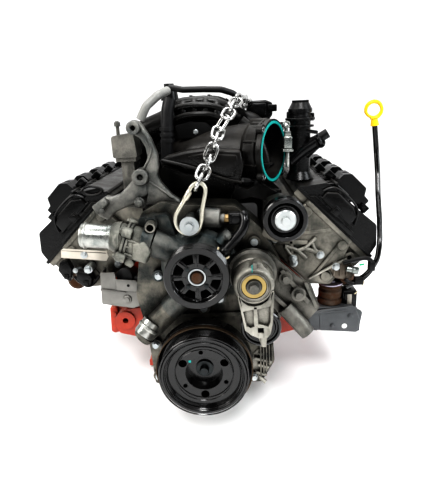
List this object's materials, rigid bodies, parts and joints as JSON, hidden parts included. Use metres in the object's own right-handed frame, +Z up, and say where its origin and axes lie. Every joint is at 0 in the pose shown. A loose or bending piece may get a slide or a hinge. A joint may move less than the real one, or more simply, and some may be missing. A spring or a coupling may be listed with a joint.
{
  "type": "complete v8 engine",
  "caption": "Overhead-valve vee engine with front cover, water pump, drive pulleys, coils, intake manifold and lifting chain.",
  "frame": {"origin": "on the crankshaft axis, at the rear face of the crankshaft flange", "axes": "+Y rearwards along the crankshaft, front pulleys towards -Y, +X to the driver side bank, +Z up"},
  "size_m": [0.7549, 0.7489, 0.766],
  "materials": {
    "orange_block": "weathered",
    "cast_aluminium": "cast, dull",
    "black_plastic": "satin",
    "machined_steel": "machined",
    "plated_steel": "bright zinc",
    "bare_iron": "rusted",
    "black_paint": "satin",
    "zinc_gold": "yellow zinc",
    "teal_rubber": "matte",
    "yellow_plastic": "gloss",
    "black_rubber": "matte",
    "grey_foam": "foam",
    "grey_casting": "cast, dull"
  },
  "bodies": {
    "engine": {"cylinder_block": "orange_block", "main_bearing_caps": "bare_iron", "oil_pan": "cast_aluminium", "oil_pickup": "machined_steel", "rear_seal_cover": "cast_aluminium", "pistons": "cast_aluminium", "timing_chain": "machined_steel", "cylinder_head_driver": "cast_aluminium", "cylinder_head_passenger": "cast_aluminium", "valve_cover_driver": "black_plastic", "valve_cover_passenger": "black_plastic", "ignition_coils_driver": "black_plastic", "ignition_coils_passenger": "black_plastic", "exhaust_manifold_driver": "bare_iron", "exhaust_manifold_passenger": "bare_iron", "spark_plugs": "machined_steel", "timing_cover": "cast_aluminium", "water_pump_housing": "cast_aluminium", "thermostat_housing": "cast_aluminium", "lower_inlet_pipe": "cast_aluminium", "heater_pipe": "machined_steel", "coolant_sensor": "black_plastic", "idler_bolt": "machined_steel", "tensioner_base": "cast_aluminium", "intake_manifold": "black_plastic", "throttle_gasket": "teal_rubber", "valley_pad": "grey_foam", "fuel_rails": "machined_steel", "oil_filler_tube": "black_paint", "egr_valve": "grey_casting", "accessory_bracket": "grey_casting", "mount_bracket_passenger": "black_paint", "mount_bracket_driver": "black_paint", "engine_mount_driver": "bare_iron", "mount_clip": "black_plastic", "dipstick_tube": "black_paint", "top_hose": "black_rubber", "breather_hose": "black_rubber", "crossover_elbow": "black_rubber", "vacuum_port": "black_plastic", "lifting_chain": "plated_steel", "snap_link": "plated_steel", "lifting_bolts": "plated_steel", "cover_bolts": "machined_steel", "head_gaskets": "machined_steel"},
    "crank": {"crankshaft": "machined_steel", "crank_sprocket": "machined_steel", "harmonic_damper": "black_paint", "damper_bolt": "machined_steel", "flexplate": "machined_steel"},
    "cam": {"camshaft": "machined_steel", "cam_sprocket": "machined_steel"},
    "water_pump_rotor": {"water_pump_shaft": "bare_iron", "water_pump_pulley": "black_paint"},
    "idler": {"idler_pulley": "black_paint"},
    "tensioner": {"tensioner_arm": "cast_aluminium", "tensioner_ring": "zinc_gold"},
    "tensioner_wheel": {"tensioner_pulley": "black_paint"},
    "oil_cap": {"oil_filler_cap": "black_plastic"},
    "dipstick_blade": {"dipstick": "yellow_plastic"}
  },
  "joints": [
    {"name": "crank_spin", "type": "hinge", "parent": "engine", "child": "crank", "pos_m": [0, 0, 0], "axis": [0, 1, 0], "continuous": true},
    {"name": "cam_spin", "type": "hinge", "parent": "engine", "child": "cam", "pos_m": [0, -0.3, 0.165], "axis": [0, 1, 0], "continuous": true},
    {"name": "water_pump_spin", "type": "hinge", "parent": "engine", "child": "water_pump_rotor", "pos_m": [-0.002, -0.65, 0.198], "axis": [0, 1, 0], "continuous": true},
    {"name": "idler_spin", "type": "hinge", "parent": "engine", "child": "idler", "pos_m": [0.154, -0.678, 0.299], "axis": [0, 1, 0], "continuous": true},
    {"name": "tensioner_swing", "type": "hinge", "parent": "engine", "child": "tensioner", "pos_m": [0.098, -0.69, 0.185], "axis": [0, 1, 0], "range_deg": [-25, 0], "stiffness_Nm_per_rad": 20, "springref_deg": 45.84},
    {"name": "tensioner_wheel_spin", "type": "hinge", "parent": "tensioner", "child": "tensioner_wheel", "pos_m": [0.11, -0.678, 0.098], "axis": [0, 1, 0], "continuous": true},
    {"name": "oil_cap_lift", "type": "slide", "parent": "engine", "child": "oil_cap", "axis": [0, 0, 1], "range_m": [0, 0.03]},
    {"name": "dipstick_pull", "type": "slide", "parent": "engine", "child": "dipstick_blade", "axis": [-0.124, 0, 0.9923], "range_m": [0, 0.044]}
  ],
  "couplings": [
    {"joint": "cam_spin", "follows": "crank_spin", "ratio": 0.5}
  ]
}
